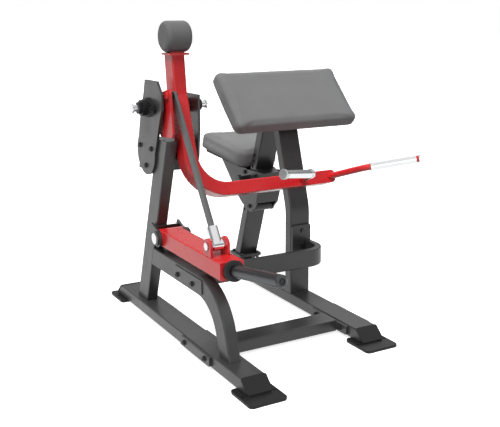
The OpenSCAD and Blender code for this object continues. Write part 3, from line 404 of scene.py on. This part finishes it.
seatPlan = {
    "foot": (0.197, 0.4202, 0.5827), "slope": 12.0, "front": 0.212, "rear": 0.334, "length": 0.331,
    "floor": 0.0132, "thickness": 0.072, "frontCorner": 0.044, "rearCorner": 0.036, "edge": 0.013,
    "underEdge": 0.005, "voxel": 0.005, "pressure": 4.5, "stiffness": 20.0, "cap": 0.008}


def makeSeatPad(plan):
    clearSelection()
    middle = plan["floor"] + plan["thickness"] / 2
    bpy.ops.mesh.primitive_cube_add(size=1, location=(0, 0.159, middle))
    pad = bpy.context.object
    pad.name = "seatPad"
    pad.scale = (plan["rear"], plan["length"], plan["thickness"])
    placePiece(pad)
    focus(pad)
    bpy.ops.object.mode_set(mode="EDIT")
    bpy.ops.mesh.select_all(action="DESELECT")
    shape = bmesh.from_edit_mesh(pad.data)
    for face in shape.faces:
        face.select_set(face.normal.y < -0.9)
    bmesh.update_edit_mesh(pad.data)
    bpy.ops.transform.resize(value=(plan["front"] / plan["rear"], 1, 1))  # narrower towards the front
    bpy.ops.object.mode_set(mode="OBJECT")
    for atFront, radius in ((True, plan["frontCorner"]), (False, plan["rearCorner"])):
        selectEdges(pad, lambda a, b: abs(a.x - b.x) < 0.001 and abs(a.y - b.y) < 0.001
                    and (a.y < 0.01) == atFront and (a.y < 0.01 or a.y > plan["length"] - 0.01))
        bevelSelected(radius, 8)
    selectEdges(pad, lambda a, b: min(a.z, b.z) > middle)
    bevelSelected(plan["edge"], 6)
    selectEdges(pad, lambda a, b: max(a.z, b.z) < plan["floor"] + 0.001)
    bevelSelected(plan["underEdge"], 3)
    swellCushion(pad, plan)
    placePiece(pad, Matrix.Translation(plan["foot"]) @ Matrix.Rotation(math.radians(plan["slope"]), 4, "X"))
    ridePiece(pad, "seat", vinyl)
    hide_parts("seat_pad")


handlePlan = {
    "middle": (0.197, -0.0508, 0.6086), "lean": -19.0, "root": (0.060, 0.0), "knee": (0.129, -0.220),
    "gripWay": (0.885, -0.465), "gripLength": 0.2275, "radius": 0.014,
    "bend": 0.055, "steps": 14, "sides": 48}


def makeHandleTube(plan, name, side):
    root = Vector((side * plan["root"][0], plan["root"][1], 0))
    knee = Vector((side * plan["knee"][0], plan["knee"][1], 0))
    firstWay = (knee - root).normalized()
    gripWay = Vector((side * plan["gripWay"][0], plan["gripWay"][1], 0)).normalized()
    turn = firstWay.angle(gripWay)
    tangent = plan["bend"] * math.tan(turn / 2)
    inward = (gripWay - firstWay * firstWay.dot(gripWay)).normalized()
    bendStart = knee - firstWay * tangent
    clearSelection()
    bpy.ops.mesh.primitive_circle_add(
        vertices=plan["sides"], radius=plan["radius"], fill_type="NGON", location=root,
        rotation=firstWay.to_track_quat("Z", "Y").to_euler())
    tube = bpy.context.object
    tube.name = name
    placePiece(tube)
    bpy.ops.object.mode_set(mode="EDIT")
    bpy.ops.mesh.select_all(action="SELECT")
    bpy.ops.mesh.extrude_region_move(TRANSFORM_OT_translate={"value": bendStart - root})
    bpy.ops.mesh.spin(  # a positive angle spins clockwise about the axis
        steps=plan["steps"], angle=-side * turn, center=bendStart + inward * plan["bend"], axis=(0, 0, 1))
    bpy.ops.mesh.extrude_region_move(
        TRANSFORM_OT_translate={"value": gripWay * (plan["gripLength"] - tangent)})
    bpy.ops.object.mode_set(mode="OBJECT")
    outwardNormals(tube)
    smoothPiece(tube)
    end = max((v.co for v in tube.data.vertices), key=lambda co: side * co.x)
    print("stage:", name, "ends at", [round(1000 * value) for value in end])
    placePiece(tube, Matrix.Translation(plan["middle"]) @ Matrix.Rotation(math.radians(plan["lean"]), 4, "X"))
    ridePiece(tube, "movement_arm", redPaint)
    return tube


makeArmPad(armPadPlan)
makeSeatPad(seatPlan)
leftHandle = makeHandleTube(handlePlan, "leftHandleTube", -1)
rightHandle = makeHandleTube(handlePlan, "rightHandleTube", 1)
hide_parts("handle_tube")
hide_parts("handle_tube")
print("stage: pads and handles made")

studio = {
    "cameraPlace": (-1.7538, -2.9903, 1.3166), "azimuth": -29.1625, "pitch": 13.7539, "roll": -0.3943,
    "lens": 58.976, "sensor": 36.0, "floorSize": 60.0, "floorTone": 0.92, "floorGlow": 0.75,
    "backdrop": 1.0, "ambient": 0.2, "sunStrength": 3.4, "sunFrom": (-0.5, -0.25, 1.0), "sunSpread": 40.0,
    "lampTarget": (0, 0, 0.7), "frontPlace": (-0.8, -4.2, 1.5), "frontSize": (3.0, 2.0), "frontPower": 34.0,
    "rimPlace": (1.6, 2.6, 2.6), "rimSize": (2.4, 1.6), "rimPower": 14.0}


def makeCamera():
    data = bpy.data.cameras.new("camera")
    data.lens = studio["lens"]
    data.sensor_width = studio["sensor"]
    data.clip_start, data.clip_end = 0.05, 200.0
    camera = bpy.data.objects.new("camera", data)
    bpy.context.scene.collection.objects.link(camera)
    turn = (Matrix.Rotation(math.radians(studio["azimuth"]), 4, "Z")
            @ Matrix.Rotation(math.radians(90 - studio["pitch"]), 4, "X")
            @ Matrix.Rotation(math.radians(studio["roll"]), 4, "Z"))
    camera.matrix_world = Matrix.Translation(studio["cameraPlace"]) @ turn
    bpy.context.scene.camera = camera


def makeAreaLight(name, place, size, power):
    data = bpy.data.lights.new(name, "AREA")
    data.shape = "RECTANGLE"
    data.size, data.size_y = size
    data.energy = power
    lamp = bpy.data.objects.new(name, data)
    bpy.context.scene.collection.objects.link(lamp)
    lamp.location = place
    lamp.rotation_euler = (Vector(studio["lampTarget"]) - Vector(place)).to_track_quat("-Z", "Y").to_euler()


def makeSun():
    data = bpy.data.lights.new("keyLight", "SUN")
    data.energy = studio["sunStrength"]
    data.angle = math.radians(studio["sunSpread"])
    lamp = bpy.data.objects.new("keyLight", data)
    lamp.visible_glossy = False  # the shine comes from the white surroundings alone
    bpy.context.scene.collection.objects.link(lamp)
    lamp.rotation_euler = Vector(studio["sunFrom"]).to_track_quat("Z", "Y").to_euler()


def makeFloor():
    clearSelection()
    bpy.ops.mesh.primitive_plane_add(size=studio["floorSize"], location=(0, 0, -0.0005))
    floor = bpy.context.object
    floor.name = "studioFloor"
    material, tree, shader, coords = startMaterial("floorPaper")
    haze = addNoise(tree, coords, 0.8, 2.0)
    tone = studio["floorTone"]
    ramp = addRamp(tree, haze.outputs["Fac"], [(0.3, (tone * 0.985,) * 3), (0.7, (tone,) * 3)])
    tree.links.new(ramp.outputs["Color"], shader.inputs["Base Color"])
    shader.inputs["Roughness"].default_value = 0.6
    shader.inputs["Specular IOR Level"].default_value = 0.2
    shader.inputs["Emission Color"].default_value = (1.0, 1.0, 1.0, 1.0)
    shader.inputs["Emission Strength"].default_value = studio["floorGlow"]
    setMaterial(floor, material)
    floor.visible_diffuse = False  # keeps its bounce from washing out the undersides
    floor.visible_glossy = False


def makeWorld():
    world = bpy.data.worlds.new("studioSky")
    world.use_nodes = True
    tree = world.node_tree
    rays = tree.nodes.new("ShaderNodeLightPath")
    coords = tree.nodes.new("ShaderNodeTexCoord")
    split = tree.nodes.new("ShaderNodeSeparateXYZ")
    tree.links.new(coords.outputs["Generated"], split.inputs["Vector"])
    height = addRange(tree, split.outputs["Z"], 0.0, 1.0, -1.0, 1.0)
    bands = addRamp(tree, height.outputs["Result"], [  # a dim band behind the machine keeps level tops dark
        (0.0, (1.2,) * 3), (0.48, (1.2,) * 3), (0.53, (0.28,) * 3), (0.66, (0.28,) * 3), (0.8, (1.0,) * 3)])
    mix = tree.nodes.new("ShaderNodeMix")
    mix.data_type = "RGBA"
    mix.inputs[7].default_value = (studio["backdrop"],) * 3 + (1.0,)
    tree.links.new(rays.outputs["Is Camera Ray"], mix.inputs["Factor"])
    tree.links.new(bands.outputs["Color"], mix.inputs[6])
    level = addRange(tree, rays.outputs["Is Diffuse Ray"], 1.0, studio["ambient"], 0.0, 1.0)
    tree.links.new(mix.outputs[2], tree.nodes["Background"].inputs["Color"])
    tree.links.new(level.outputs["Result"], tree.nodes["Background"].inputs["Strength"])
    bpy.context.scene.world = world


makeCamera()
makeWorld()
makeFloor()
makeSun()
makeAreaLight("frontLight", studio["frontPlace"], studio["frontSize"], studio["frontPower"])
makeAreaLight("rimLight", studio["rimPlace"], studio["rimSize"], studio["rimPower"])
bpy.context.scene.view_settings.view_transform = "Standard"
print("stage: camera, lights and floor made")

print("stage: finished")
